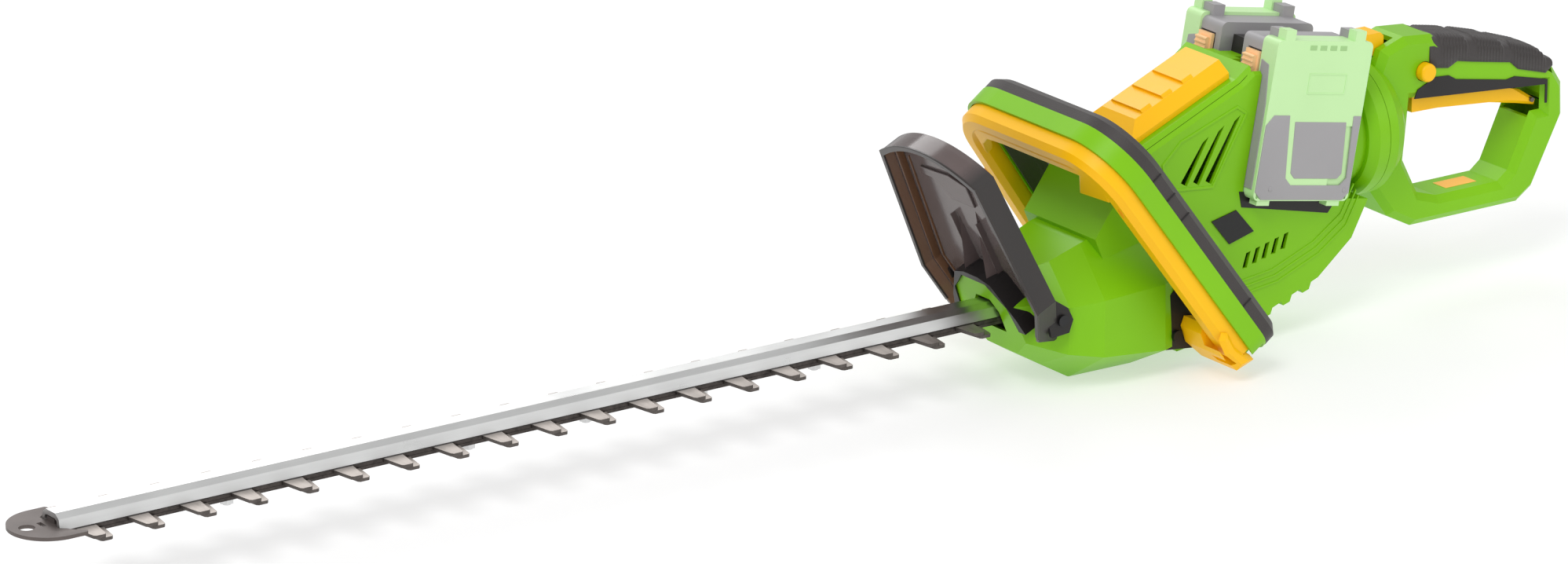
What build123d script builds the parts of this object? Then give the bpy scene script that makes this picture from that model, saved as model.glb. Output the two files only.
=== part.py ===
from build123d import *
import math
import os

# Cordless hedge trimmer, millimetres.
# Frame: origin on the floor under the drive gear's axis, +X along the blade, +Y the tool's left,
# +Z up. The tool rests on the flat bottom of its gear housing, with the blade level.

os.makedirs("parts", exist_ok=True)

# ---- driving dimensions ----
blade_level = 44.0        # height of the plane between the two blades
blade_thickness = 2.0
blade_gap = 0.1           # each blade's distance from that plane
tooth_pitch = 34.0
tooth_count = 19
first_tooth_x = 716.0
tooth_root_width = 13.4
tooth_tip_width = 8.0
tooth_reach = 28.0
spine_half_width = 11.2
blade_front_x = 725.0
rest_offset = 2.25        # how far the upper blade stands ahead of mid stroke at rest
crank_throw = 4.0

bar_back_x = 58.0
bar_front_x = 732.0
bar_bottom = blade_level + 2.3
bar_height = 9.0
bar_bolt_xs = (63.0, 71.6)
bolt_pitch = 82.0
bolt_count = 7
first_bolt_x = 617.0
bolt_radius = 2.5

gear_module = 1.0
gear_teeth = 60
pinion_teeth = 10
gear_radius = gear_module * gear_teeth / 2
pinion_radius = gear_module * pinion_teeth / 2
motor_x = -(gear_radius + pinion_radius)
gear_bottom = 24.0
gear_height = 8.0
cam_radius = 11.0
cam_height = 4.0
conrod_length = 40.0
crank_angle = math.degrees(math.acos(rest_offset / crank_throw))
shaft_radius = 5.0
running_gap = 0.05

plate_bottom = bar_bottom + bar_height + 0.3
plate_thickness = 3.0

wall = 2.4
body_half_width = 36.0

pack_lean = 10.5
pack_width = 76.0
pack_length = 101.0
pack_inner = 11.0
pack_outer = 45.5
pack_x = -136.0
pack_z = 141.0

collar_z = 116.0
collar_radius = 44.0
collar_front_x = -186.0
collar_seam_x = -199.0
handle_half_width = 18.0
trigger_half_width = 12.4

bail_lean = 36.0
bail_base_x = -71.0
bail_base_z = 20.0
bail_height = 183.0
bail_bar = 19.0
bail_top_half = 79.0
bail_foot_half = 95.0
bail_corner = 40.0
grip_level = -4.5         # levels through the bail's thickness, from the black grip forward
shell_level = 7.0
shell_depth = 12.5
lever_level = 14.3
lever_depth = 17.0


# ---- shared helpers ----
def outline(plane, points):
    """A closed straight-sided outline on a plane."""
    with BuildSketch(plane) as flat:
        with BuildLine():
            Polyline(*points, close=True)
        make_face()
    return flat.sketch


def disc(plane, radius, centre=(0, 0)):
    """A round outline on a plane."""
    with BuildSketch(plane) as flat:
        with Locations(centre):
            Circle(radius)
    return flat.sketch


def slab(plane, width, height, centre=(0, 0), rounding=0.0):
    """A rectangle on a plane, with rounded corners if asked."""
    with BuildSketch(plane) as flat:
        with Locations(centre):
            if rounding > 0:
                RectangleRounded(width, height, rounding)
            else:
                Rectangle(width, height)
    return flat.sketch


def section_across(x, shape, inset=0.0):
    """An octagonal section across the tool at x, drawn inwards by inset.
    shape = bottom z, bottom half width, low z, low half width, high z, high half width, top z, top half width."""
    bottom, bottom_half, low, low_half, high, high_half, top, top_half = shape
    slant = 0.6 * inset
    half = [
        (bottom_half - slant, bottom + inset),
        (low_half - inset, low + slant),
        (high_half - inset, high - slant),
        (top_half - slant, top - inset),
    ]
    other = [(-y, z) for y, z in reversed(half)]
    return outline(Plane.YZ.offset(x), half + other)


def save(piece, label):
    """Label a finished piece and write its STEP file."""
    piece.label = label
    export_step(piece, f"parts/{label}.step")


def post(radius, x, y, z0, z1, mode=Mode.ADD):
    """An upright round post between two heights."""
    extrude(disc(Plane.XY.offset(z0), radius, (x, y)), amount=z1 - z0, mode=mode)


# ---- blades ----
def blade_outline(level, shift):
    """One toothed blade as a flat sheet: spine, teeth on both sides, bolt slots and crank window."""
    with BuildSketch(Plane.XY.offset(level)) as flat:
        tail_x = 24.0 + shift
        with BuildLine():
            Polyline(
                (tail_x, -12.0),
                (66.0, -12.0),
                (72.0, -spine_half_width),
                (blade_front_x + shift - 4.0, -spine_half_width),
                (blade_front_x + shift, -spine_half_width + 4.0),
                (blade_front_x + shift, spine_half_width - 4.0),
                (blade_front_x + shift - 4.0, spine_half_width),
                (72.0, spine_half_width),
                (66.0, 12.0),
                (tail_x, 12.0),
                close=True,
            )
        make_face()
        for side in (1, -1):
            for number in range(tooth_count):
                x = first_tooth_x + shift - number * tooth_pitch
                root = tooth_root_width / 2
                tip = tooth_tip_width / 2
                with BuildLine():
                    Polyline(
                        (x - root, side * (spine_half_width - 0.7)),
                        (x - tip, side * (tooth_reach - 1.2)),
                        (x - tip + 1.2, side * tooth_reach),
                        (x + tip - 1.2, side * tooth_reach),
                        (x + tip, side * (tooth_reach - 1.2)),
                        (x + root, side * (spine_half_width - 0.7)),
                        close=True,
                    )
                make_face()
        for number in range(bolt_count):
            stroke_middle = rest_offset if shift == 0 else -rest_offset
            with Locations((first_bolt_x - number * bolt_pitch + stroke_middle, 0)):
                SlotCenterToCenter(2 * crank_throw + 1.0, 2 * bolt_radius + 1.4, mode=Mode.SUBTRACT)
        window_x = conrod_length + (rest_offset if shift == 0 else -rest_offset)
        with Locations((window_x, 0)):
            RectangleRounded(22.4, 14.4, 3.0, mode=Mode.SUBTRACT)
    return flat.sketch


lower_shift = -2 * rest_offset

with BuildPart() as upper_blade:
    extrude(blade_outline(blade_level + blade_gap, 0.0), amount=blade_thickness)
save(upper_blade.part, "upper_blade")

with BuildPart() as lower_blade:
    extrude(blade_outline(blade_level - blade_gap, lower_shift), amount=-blade_thickness)
save(lower_blade.part, "lower_blade")

# ---- guide bar, tip guard and their fasteners ----
with BuildPart() as guide_bar:
    bar_profile = [
        (10.45, 0.0), (8.95, 6.4), (4.95, bar_height), (-4.95, bar_height), (-8.95, 6.4), (-10.45, 0.0),
        (-7.6, 0.0), (-6.6, 4.8), (-4.6, 5.8), (4.6, 5.8), (6.6, 4.8), (7.6, 0.0),
    ]
    bar_points = [(y, z + bar_bottom) for y, z in bar_profile]
    extrude(outline(Plane.YZ.offset(bar_back_x), bar_points), amount=bar_front_x - bar_back_x)
    for bolt_x in bar_bolt_xs:
        post(2.6, bolt_x, 0, bar_bottom, plate_bottom, mode=Mode.SUBTRACT)
save(guide_bar.part, "guide_bar")

tip_centre_x = 733.0
tip_radius = 24.5
tip_bottom = bar_bottom
tip_thickness = 2.2
with BuildPart() as tip_guard:
    with BuildSketch(Plane.XY.offset(tip_bottom)):
        with Locations((tip_centre_x, 0)):
            Circle(tip_radius)
        with Locations((tip_centre_x - 20, 0)):
            Rectangle(40, 60, mode=Mode.SUBTRACT)
        for side in (1, -1):
            with BuildLine():
                Polyline(
                    (tip_centre_x, side * 10.8),
                    (tip_centre_x, side * tip_radius),
                    (tip_centre_x - 11.0, side * tip_radius),
                    (tip_centre_x - 12.0, side * (tip_radius - 2.0)),
                    (tip_centre_x - 7.0, side * 18.6),
                    (tip_centre_x - 3.4, side * 13.6),
                    close=True,
                )
            make_face()
        with Locations((tip_centre_x - 20.0, 0)):
            Rectangle(42, 12.8)
        with Locations((tip_centre_x + 14.5, 0)):
            Circle(4.8, mode=Mode.SUBTRACT)
        with Locations((tip_centre_x + 5.0, 0)):
            Rectangle(3.0, 7.0, mode=Mode.SUBTRACT)
    extrude(amount=tip_thickness)
    with BuildSketch(Plane.YZ.offset(tip_centre_x - 1.0)):
        with Locations((0, tip_bottom + 3.6)):
            Rectangle(8.0, 3.0)
    extrude(amount=-34.0)
save(tip_guard.part, "tip_guard")

nut_top = blade_level - blade_gap - blade_thickness - 0.35
with BuildPart() as blade_bolts:
    for number in range(bolt_count):
        bolt_x = first_bolt_x - number * bolt_pitch
        post(bolt_radius, bolt_x, 0, nut_top - 6.2, bar_bottom + 1.0)
        extrude(slab(Plane.XY.offset(bar_bottom + 0.3), 8.0, 10.0, (bolt_x, 0), 1.0), amount=3.6)
save(blade_bolts.part, "blade_bolts")

with BuildPart() as blade_nuts:
    for number in range(bolt_count):
        bolt_x = first_bolt_x - number * bolt_pitch
        post(6.2, bolt_x, 0, nut_top - 1.2, nut_top)
        with BuildSketch(Plane.XY.offset(nut_top - 1.2)):
            with Locations((bolt_x, 0)):
                RegularPolygon(4.4, 6)
        extrude(amount=-4.0)
        post(bolt_radius, bolt_x, 0, nut_top - 7.0, nut_top + 1.0, mode=Mode.SUBTRACT)
save(blade_nuts.part, "blade_nuts")


# ---- drive: gear, cams, rods, bearings ----
def toothed_wheel(level, teeth, height, turn=0.0, centre=(0.0, 0.0)):
    """A spur wheel with straight-flanked teeth that leave running room in mesh."""
    pitch_r = gear_module * teeth / 2
    outer_r = pitch_r + 0.85 * gear_module
    root_r = pitch_r - 1.2 * gear_module
    step = 360.0 / teeth
    half_root = step * 0.33
    half_tip = step * 0.11
    points = []
    for tooth in range(teeth):
        middle = turn + tooth * step
        for angle, radius in ((-half_root, root_r), (-half_tip, outer_r), (half_tip, outer_r), (half_root, root_r)):
            at = math.radians(middle + angle)
            points.append((centre[0] + radius * math.cos(at), centre[1] + radius * math.sin(at)))
    extrude(outline(Plane.XY.offset(level), points), amount=height)


cam_x = crank_throw * math.cos(math.radians(crank_angle))
cam_y = crank_throw * math.sin(math.radians(crank_angle))
lower_cam_z = 34.0
upper_cam_z = 48.0

with BuildPart() as drive_gear:
    toothed_wheel(gear_bottom, gear_teeth, gear_height)
    post(14.0, 0, 0, gear_bottom + gear_height, lower_cam_z - 0.3)
    post(cam_radius, -cam_x, -cam_y, lower_cam_z - 0.3, lower_cam_z + cam_height)
    post(6.6, 0, 0, lower_cam_z + cam_height, upper_cam_z)
    post(cam_radius, cam_x, cam_y, upper_cam_z, upper_cam_z + cam_height)
    with BuildSketch(Plane.XY.offset(gear_bottom)):
        with PolarLocations(21.5, 6):
            Circle(4.6)
    extrude(amount=gear_height, mode=Mode.SUBTRACT)
    post(shaft_radius, 0, 0, gear_bottom - 1, upper_cam_z + cam_height + 1, mode=Mode.SUBTRACT)
save(drive_gear.part, "drive_gear")

shaft_bottom = 13.0
shaft_top = 62.0
with BuildPart() as gear_shaft:
    post(shaft_radius, 0, 0, shaft_bottom, shaft_top)
    chamfer(gear_shaft.edges().filter_by(GeomType.CIRCLE), length=0.6)
save(gear_shaft.part, "gear_shaft")

bearing_outer = 9.5
bearing_levels = ((14.0, 19.0), (plate_bottom + 0.2, plate_bottom + 5.2))
with BuildPart() as gear_bearings:
    for low, high in bearing_levels:
        post(bearing_outer, 0, 0, low, high)
        post(8.0, 0, 0, high - 0.6, high, mode=Mode.SUBTRACT)
        post(shaft_radius + running_gap, 0, 0, low - 1, high + 1, mode=Mode.SUBTRACT)
save(gear_bearings.part, "gear_bearings")


def connecting_rod(low, high, centre_x, centre_y, pin_low, pin_high):
    """A rod with a ring round its cam and a pin for the blade's window."""
    end_x = centre_x + conrod_length
    post(cam_radius + 4.0, centre_x, centre_y, low, high)
    extrude(slab(Plane.XY.offset(low), conrod_length, 8.0, (centre_x + conrod_length / 2, centre_y)), amount=high - low)
    post(5.0, end_x, centre_y, low, high)
    post(cam_radius + running_gap, centre_x, centre_y, low - 1, high + 1, mode=Mode.SUBTRACT)
    post(2.5, end_x, centre_y, pin_low, pin_high)


with BuildPart() as lower_conrod:
    connecting_rod(lower_cam_z + 0.1, lower_cam_z + cam_height - 0.1, -cam_x, -cam_y, 37.5, blade_level - 0.4)
save(lower_conrod.part, "lower_conrod")

with BuildPart() as upper_conrod:
    connecting_rod(upper_cam_z + 0.1, upper_cam_z + cam_height - 0.1, cam_x, cam_y, blade_level + 0.4, 50.0)
save(upper_conrod.part, "upper_conrod")

# ---- gearcase ----
post_spots = ((34.0, 30.0), (34.0, -30.0), (-30.0, 31.0), (-30.0, -31.0))
pan_rim = 33.5
with BuildPart() as gearcase_plate:
    with BuildSketch(Plane.XY.offset(plate_bottom)):
        with BuildLine():
            Polyline(
                (-62, -20), (-40, -37), (42, -37), (60, -16), (76, -14),
                (76, 14), (60, 16), (42, 37), (-40, 37), (-62, 20), close=True,
            )
        make_face()
        with Locations((motor_x, 0)):
            Circle(8.0, mode=Mode.SUBTRACT)
        with Locations((0, 0)):
            Circle(bearing_outer, mode=Mode.SUBTRACT)
        with Locations(*[(x, 0) for x in bar_bolt_xs]):
            Circle(2.6, mode=Mode.SUBTRACT)
    extrude(amount=plate_thickness)
    with BuildSketch(Plane.XY.offset(plate_bottom + plate_thickness)):
        Circle(bearing_outer + 2.5)
        Circle(bearing_outer, mode=Mode.SUBTRACT)
    extrude(amount=2.6)
save(gearcase_plate.part, "gearcase_plate")

with BuildPart() as gearcase_cover:
    post(36.5, 0, 0, 19.5, pan_rim)
    post(9.5, motor_x, 0, 19.5, pan_rim)
    extrude(slab(Plane.XY.offset(pan_rim - 3.5), 76.0, 72.0, (2.0, 0), 6.0), amount=3.5)
    for spot_x, spot_y in post_spots:
        post(4.5, spot_x, spot_y, pan_rim - 3.5, plate_bottom)
    post(bearing_outer + 3.0, 0, 0, 11.0, 20.0)
    post(34.0, 0, 0, 22.0, pan_rim + 1, mode=Mode.SUBTRACT)
    post(7.5, motor_x, 0, 22.0, pan_rim + 1, mode=Mode.SUBTRACT)
    post(bearing_outer, 0, 0, 14.0, 22.5, mode=Mode.SUBTRACT)
    post(shaft_radius + 0.6, 0, 0, 12.4, 14.5, mode=Mode.SUBTRACT)
save(gearcase_cover.part, "gearcase_cover")

with BuildPart() as bar_bolts:
    for bolt_x in bar_bolt_xs:
        post(2.5, bolt_x, 0, bar_bottom + 4.2, plate_bottom + plate_thickness)
        post(4.2, bolt_x, 0, plate_bottom + plate_thickness, plate_bottom + plate_thickness + 3.2)
    for spot_x, spot_y in post_spots:
        post(4.2, spot_x, spot_y, plate_bottom + plate_thickness, plate_bottom + plate_thickness + 3.0)
    with BuildSketch(Plane.XY.offset(plate_bottom + plate_thickness + 3.4)):
        with Locations(*[(x, 0) for x in bar_bolt_xs]):
            RegularPolygon(2.2, 6)
    extrude(amount=-1.8, mode=Mode.SUBTRACT)
save(bar_bolts.part, "bar_bolts")

# ---- motor, standing on the gearcase plate ----
motor_bottom = plate_bottom + plate_thickness
motor_top = motor_bottom + 58.0
can_radius = 21.0
with BuildPart() as motor_can:
    post(can_radius, motor_x, 0, motor_bottom, motor_top)
    post(can_radius - 1.6, motor_x, 0, motor_bottom + 1.6, motor_top + 1, mode=Mode.SUBTRACT)
    post(3.2, motor_x, 0, motor_bottom - 1, motor_bottom + 2, mode=Mode.SUBTRACT)
    for turn in (0, 180):
        with BuildSketch(Plane.XY.offset(motor_bottom + 1.6)):
            with Locations((motor_x, 0)):
                Circle(can_radius - 1.6)
                Circle(can_radius - 6.0, mode=Mode.SUBTRACT)
                with Locations(Location((0, 0), turn)):
                    Rectangle(30, 60, align=(Align.MIN, Align.CENTER), mode=Mode.SUBTRACT)
                Rectangle(60, 8, mode=Mode.SUBTRACT)
    extrude(amount=38.0)
save(motor_can.part, "motor_can")

with BuildPart() as motor_end_cap:
    post(can_radius, motor_x, 0, motor_top, motor_top + 5.0)
    post(7.0, motor_x, 0, motor_top + 5.0, motor_top + 8.0)
    post(2.3, motor_x, 0, motor_top - 1, motor_top + 7.0, mode=Mode.SUBTRACT)
    for side in (1, -1):
        extrude(slab(Plane.XY.offset(motor_top + 5.0), 6.0, 1.0, (motor_x, side * 13.0)), amount=7.0)
        extrude(slab(Plane.XY.offset(motor_top), 4.0, 6.0, (motor_x, side * 9.4)), amount=-6.0)
save(motor_end_cap.part, "motor_end_cap")

with BuildPart() as motor_shaft:
    toothed_wheel(gear_bottom - 0.5, pinion_teeth, gear_height + 1.0, 180.0 / pinion_teeth, (motor_x, 0.0))
    post(2.0, motor_x, 0, gear_bottom - 0.5, motor_top + 6.0)
save(motor_shaft.part, "motor_shaft")

with BuildPart() as motor_rotor:
    with BuildSketch(Plane.XY.offset(motor_bottom + 4.0)):
        with Locations((motor_x, 0)):
            Circle(13.6)
            with PolarLocations(12.4, 5):
                Rectangle(3.6, 1.6, mode=Mode.SUBTRACT)
    extrude(amount=34.0)
    post(5.8, motor_x, 0, motor_bottom + 38.0, motor_bottom + 52.0)
    post(2.0, motor_x, 0, motor_bottom, motor_top, mode=Mode.SUBTRACT)
save(motor_rotor.part, "motor_rotor")

with BuildPart() as motor_fan:
    post(4.0, motor_x, 0, motor_top + 8.4, motor_top + 12.4)
    post(19.0, motor_x, 0, motor_top + 12.4, motor_top + 13.8)
    for blade_number in range(9):
        blade_turn = Location((motor_x, 0), 40.0 * blade_number)
        with BuildSketch(Plane.XY.offset(motor_top + 13.8)):
            with Locations(blade_turn):
                with Locations((11.5, 0)):
                    Rectangle(13.0, 1.2)
        extrude(amount=5.6)
    post(2.0, motor_x, 0, motor_top + 8, motor_top + 10.4, mode=Mode.SUBTRACT)
save(motor_fan.part, "motor_fan")

# ---- main casing, two mirrored shells ----
# Sections of the gear housing, from the nose back.
housing_sections = (
    (96.0, (31, 13, 40, 22, 56, 20, 68, 11)),
    (70.0, (24, 15, 33, 31, 58, 33, 73, 15)),
    (50.0, (12, 16, 26, 45, 56, 46, 80, 24)),
    (28.0, (-0.5, 16, 22, 52, 58, 52, 88, 26)),
    (-18.0, (-0.5, 17, 18, 53, 60, 52, 100, 27)),
    (-48.0, (7, 22, 20, 44, 66, 44, 108, 28)),
    (-72.0, (11, 24, 22, 36, 72, 36, 112, 28)),
)
# Side outline of the main body.
body_outline = (
    (-40, 8), (-78, 13), (-112, 21), (-150, 35), (-176, 56), (-190, 82), (-190, 150), (-178, 150),
    (-128, 151), (-121, 176), (-96, 180), (-86, 173), (-12, 142), (24, 92), (10, 60),
)
nose_tilt = math.radians(23.5)
nose_x = 76.0
spine_half = 7.0
bay_gap = 0.8

# Planes that follow the battery packs' lean: x forward, y up the pack, seen from the tool's left.
lean = math.radians(pack_lean)
pack_forward = (math.cos(lean), 0, math.sin(lean))


def pack_plane(y):
    """The side plane of a battery pack at a distance from the tool's centre."""
    return Plane(origin=(pack_x, y, pack_z), x_dir=pack_forward, z_dir=(0, -1, 0))


def pack_block(width, length, centre, near_y, far_y, rounding=0.0, mode=Mode.ADD):
    """A block in the pack's frame between two distances from the tool's centre."""
    extrude(slab(pack_plane(near_y), width, length, centre, rounding), amount=near_y - far_y, mode=mode)


def bay_keepout(clear, mode):
    """The space a pack and its way out take, on both sides, grown by clear."""
    front = pack_width / 2 + clear
    floor = -pack_length / 2 - clear
    for near_y, far_y in ((spine_half + bay_gap - clear, 80.0), (-80.0, -(spine_half + bay_gap - clear))):
        corner = (front - 70.0, floor + 90.0)
        pack_block(140.0, 180.0, corner, near_y, far_y, mode=mode)
    for near_y, far_y in ((14.0 - clear, 33.0 + clear), (-33.0 - clear, -14.0 + clear)):
        pack_block(30.0, 100.0, (front + 7.0 - 15.0, 8.0 - clear + 50.0), near_y, far_y, mode=mode)


with BuildPart() as casing_form:
    for station_x, station_shape in housing_sections:
        add(section_across(station_x, station_shape))
    loft(ruled=True)
    extrude(outline(Plane.XZ, body_outline), amount=body_half_width, both=True)
    side_edges = casing_form.edges().filter_by(lambda e: abs(abs(e.center().Y) - body_half_width) < 0.01)
    chamfer(side_edges.filter_by(lambda e: e.center().Z > 140 and e.center().X < -10), length=5.0)
    bay_keepout(bay_gap, Mode.SUBTRACT)

with BuildPart() as casing_hollow:
    for station_x, station_shape in housing_sections:
        add(section_across(station_x, station_shape, wall))
    loft(ruled=True)
    with BuildSketch(Plane.XZ):
        with BuildLine():
            Polyline(*body_outline, close=True)
        make_face()
        offset(amount=-wall)
    extrude(amount=body_half_width - wall, both=True)
    bay_keepout(bay_gap + wall, Mode.SUBTRACT)

nose_plane = Plane(
    origin=(nose_x, 0, blade_level),
    x_dir=(0, 1, 0),
    z_dir=(math.cos(nose_tilt), 0, -math.sin(nose_tilt)),
)

with BuildPart() as hollow_front:
    add(casing_hollow.part)
    split(bisect_by=nose_plane.offset(-wall), keep=Keep.BOTTOM)

# Side vents: three slanted slots above, a row of short ones below.
long_vents = ((-41.0, 116.0, -57.5, 139.0), (-50.5, 115.0, -69.5, 144.0), (-60.0, 114.0, -82.0, 148.5))
vent_width = 4.6
short_vent_count = 5

with BuildPart() as casing:
    add(casing_form.part)
    split(bisect_by=nose_plane, keep=Keep.BOTTOM)
    add(hollow_front.part, mode=Mode.SUBTRACT)
    # The flat that the tool rests on.
    extrude(slab(Plane.XY, 400.0, 200.0), amount=-10.0, mode=Mode.SUBTRACT)
    for low_x, low_z, high_x, high_z in long_vents:
        vent = [(low_x, low_z), (high_x, high_z), (high_x - vent_width, high_z + 3), (low_x - vent_width, low_z - 3)]
        extrude(outline(Plane.XZ, vent), amount=60, both=True, mode=Mode.SUBTRACT)
    for number in range(short_vent_count):
        low_x = -90.0 - 7.4 * number
        low_z = 52.0 + 1.7 * number
        vent = [(low_x, low_z), (low_x - 3.0, low_z + 9.5), (low_x - 6.4, low_z + 10.2), (low_x - 3.6, low_z)]
        extrude(outline(Plane.XZ, vent), amount=60, both=True, mode=Mode.SUBTRACT)
    # The slot that the bar and blades come out of.
    bar_slot = [(12.4, 36.0), (12.4, 50.0), (7.0, 57.0), (-7.0, 57.0), (-12.4, 50.0), (-12.4, 36.0)]
    extrude(outline(Plane.YZ.offset(60), bar_slot), amount=60, mode=Mode.SUBTRACT)
    # The round seat of the rear handle's collar.
    extrude(disc(Plane.YZ.offset(collar_front_x + 4), 30.0, (0, collar_z)), amount=-20.0, mode=Mode.SUBTRACT)
    # Serrated feet under the body.
    for number in range(3):
        foot_x = -104.0 - 15.0 * number
        foot_z = 16.5 + 5.3 * number
        foot = [(foot_x, foot_z + 6), (foot_x - 4, foot_z), (foot_x - 9, foot_z + 1.5), (foot_x - 12, foot_z + 9.5)]
        for foot_y in (28.0, -36.0):
            extrude(outline(Plane.XZ.offset(-foot_y), foot), amount=-8.0)

# The seam steps round a pad under the origin, so the pad is all in the left shell.
with BuildPart() as seat_pad:
    add(casing.part)
    extrude(slab(Plane.XY.offset(-1.0), 24.0, 16.0), amount=3.0, mode=Mode.INTERSECT)

with BuildPart() as left_shell:
    add(casing.part)
    split(bisect_by=Plane.XZ, keep=Keep.BOTTOM)
    add(seat_pad.part)
save(left_shell.part, "left_shell")

with BuildPart() as right_shell:
    add(casing.part)
    split(bisect_by=Plane.XZ, keep=Keep.TOP)
    add(seat_pad.part, mode=Mode.SUBTRACT)
save(right_shell.part, "right_shell")

# ---- top cover ----
roof_slope = math.atan2(173.0 - 142.0, 86.0 - 12.0)
roof_back = (-math.cos(roof_slope), 0, math.sin(roof_slope))
roof_start = Plane(origin=(-6.0, 0, 139.5), x_dir=(0, -1, 0), z_dir=roof_back)
with BuildPart() as top_cover:
    cover_section = [(26, 0.1), (26, 3.5), (16.5, 9.4), (-16.5, 9.4), (-26, 3.5), (-26, 0.1)]
    extrude(outline(roof_start, cover_section), amount=90.0)
    cover_side = [(-12.0, 142.1), (-11.5, 146.5), (-22.0, 157.5), (-60.0, 182.0), (-84.0, 184.0), (-86.0, 160.0)]
    extrude(outline(Plane.XZ, cover_side), amount=30.0, both=True, mode=Mode.INTERSECT)
    for number in range(3):
        with BuildSketch(roof_start.offset(26.0 + 17.0 * number)):
            with BuildLine():
                Polyline((17, 8), (14, 11.2), (-14, 11.2), (-17, 8), close=True)
            make_face()
        extrude(amount=8.0)
save(top_cover.part, "top_cover")

# ---- battery dock between the packs ----
with BuildPart() as battery_dock:
    for near_y, far_y in ((spine_half, spine_half + bay_gap - 0.2), (-(spine_half + bay_gap - 0.2), -spine_half)):
        pack_block(70.0, 60.0, (-1.0, -18.0), near_y, far_y)
    pack_block(66.0, 30.0, (-3.0, 27.0), -spine_half, spine_half)
    for side in (1, -1):
        for rail_x in (-22.0, 22.0):
            near_y, far_y = sorted((side * (spine_half + 0.5), side * (spine_half + 3.4)))
            pack_block(3.0, 70.0, (rail_x, -10.0), near_y, far_y)
    add(casing_form.part, mode=Mode.SUBTRACT)
save(battery_dock.part, "battery_dock")

# ---- contact blades for the packs ----
with BuildPart() as dock_terminals:
    for side in (1, -1):
        for rail_x in (-12.0, 0.0, 12.0):
            near_y, far_y = sorted((side * (spine_half + 0.7), side * (spine_half + 3.0)))
            pack_block(1.0, 16.0, (rail_x, -36.0), near_y, far_y)
save(dock_terminals.part, "dock_terminals")

# ---- battery packs: the left one, and the right one as its mirror image ----
pack_skin = 2.0
with BuildPart() as left_battery_case:
    pack_block(pack_width - 3.0, pack_length - 4.0, (0, 0), pack_inner, pack_outer - 2.0, 4.0)
    pack_block(62.0, 83.0, (0, 0), pack_inner + pack_skin, pack_outer - 4.0, mode=Mode.SUBTRACT)
    for rail_x in (-22.0, 22.0):
        pack_block(5.0, 90.0, (rail_x, -20.0), pack_inner - 1, pack_inner + 1.0, mode=Mode.SUBTRACT)
    pack_block(30.0, 26.0, (0, -38.0), pack_inner - 1, pack_inner + 1.5, mode=Mode.SUBTRACT)
    for boss_x in (-29.0, 27.0):
        pack_block(9.0, 8.0, (boss_x, pack_length / 2 + 1.0), 28.0, 38.0)
    pack_block(8.0, 29.0, (pack_width / 2 - 0.5, 26.0), 16.2, 30.8, mode=Mode.SUBTRACT)
save(left_battery_case.part, "left_battery_case")

with BuildPart() as left_battery_cover:
    pack_block(pack_width, pack_length, (0, 0), 31.0, pack_outer, 4.0)
    with BuildSketch(pack_plane(pack_outer - 2.0)):
        RectangleRounded(pack_width - 3.0, pack_length - 4.0, 4.0)
    extrude(amount=40.0, mode=Mode.SUBTRACT)
    lower_face = pack_plane(pack_outer)
    for panel_x in (-27.5, 27.5):
        pack_block(17.0, 46.0, (panel_x, -26.0), pack_outer - 1.2, pack_outer + 1, mode=Mode.SUBTRACT)
    for boss_x in (-27.0, 29.0):
        pack_block(8.0, 9.0, (boss_x, pack_length / 2 + 2.0), 38.0, pack_outer)
        pack_block(10.0, 6.0, (boss_x, -pack_length / 2 - 0.2), 38.0, pack_outer - 0.5)
    add(left_battery_case.part, mode=Mode.SUBTRACT)
save(left_battery_cover.part, "left_battery_cover")

with BuildPart() as left_battery_latch:
    pack_block(2.2, 27.0, (pack_width / 2 - 0.3, 26.0), 17.0, 30.0)
    pack_block(3.2, 20.0, (pack_width / 2 + 2.3, 27.0), 18.5, 28.5, 1.0)
save(left_battery_latch.part, "left_battery_latch")

with BuildPart() as left_battery_cells:
    for number in range(3):
        with BuildSketch(pack_plane(pack_inner + 4.0)):
            with Locations((-19.5 + 19.5 * number, 0)):
                Rectangle(18.4, 66.0)
        extrude(amount=-24.0)
save(left_battery_cells.part, "left_battery_cells")

left_pack = {
    "case": left_battery_case,
    "cover": left_battery_cover,
    "latch": left_battery_latch,
    "cells": left_battery_cells,
}
for piece_name, left_piece in left_pack.items():
    with BuildPart() as right_piece:
        mirror(left_piece.part, about=Plane.XZ)
    save(right_piece.part, f"right_battery_{piece_name}")

# ---- controller board inside the body ----
with BuildPart() as controller_board:
    extrude(slab(Plane.XZ.offset(4.0), 52.0, 26.0, (-122.0, 58.0)), amount=1.6)
    for part_x, part_z, part_w, part_h, part_t in (
        (-104.0, 62.0, 11.0, 14.0, 9.0),
        (-120.0, 64.0, 12.0, 10.0, 7.0),
        (-138.0, 60.0, 10.0, 12.0, 5.0),
        (-118.0, 51.0, 22.0, 6.0, 6.0),
    ):
        extrude(slab(Plane.XZ.offset(5.6), part_w, part_h, (part_x, part_z)), amount=part_t)
save(controller_board.part, "controller_board")

# ---- blank label plates on both flanks ----
with BuildPart() as label_plates:
    label = [(-65.0, 87.0), (-84.0, 91.0), (-98.0, 75.0), (-79.0, 70.0)]
    for near_y, far_y in ((body_half_width, body_half_width + 0.8), (-body_half_width - 0.8, -body_half_width)):
        extrude(outline(Plane.XZ.offset(-near_y), label), amount=near_y - far_y)
save(label_plates.part, "label_plates")

# ---- hand guard: a leaning tray open to the front ----
guard_lean = math.radians(25.5)
guard_up = (math.sin(guard_lean), 0, math.cos(guard_lean))
guard_base = Plane(
    origin=(60.5, 0, 46.5),
    x_dir=(0, 1, 0),
    z_dir=(math.cos(guard_lean), 0, -math.sin(guard_lean)),
)
guard_depth = 15.0
guard_wall = 2.2


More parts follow.
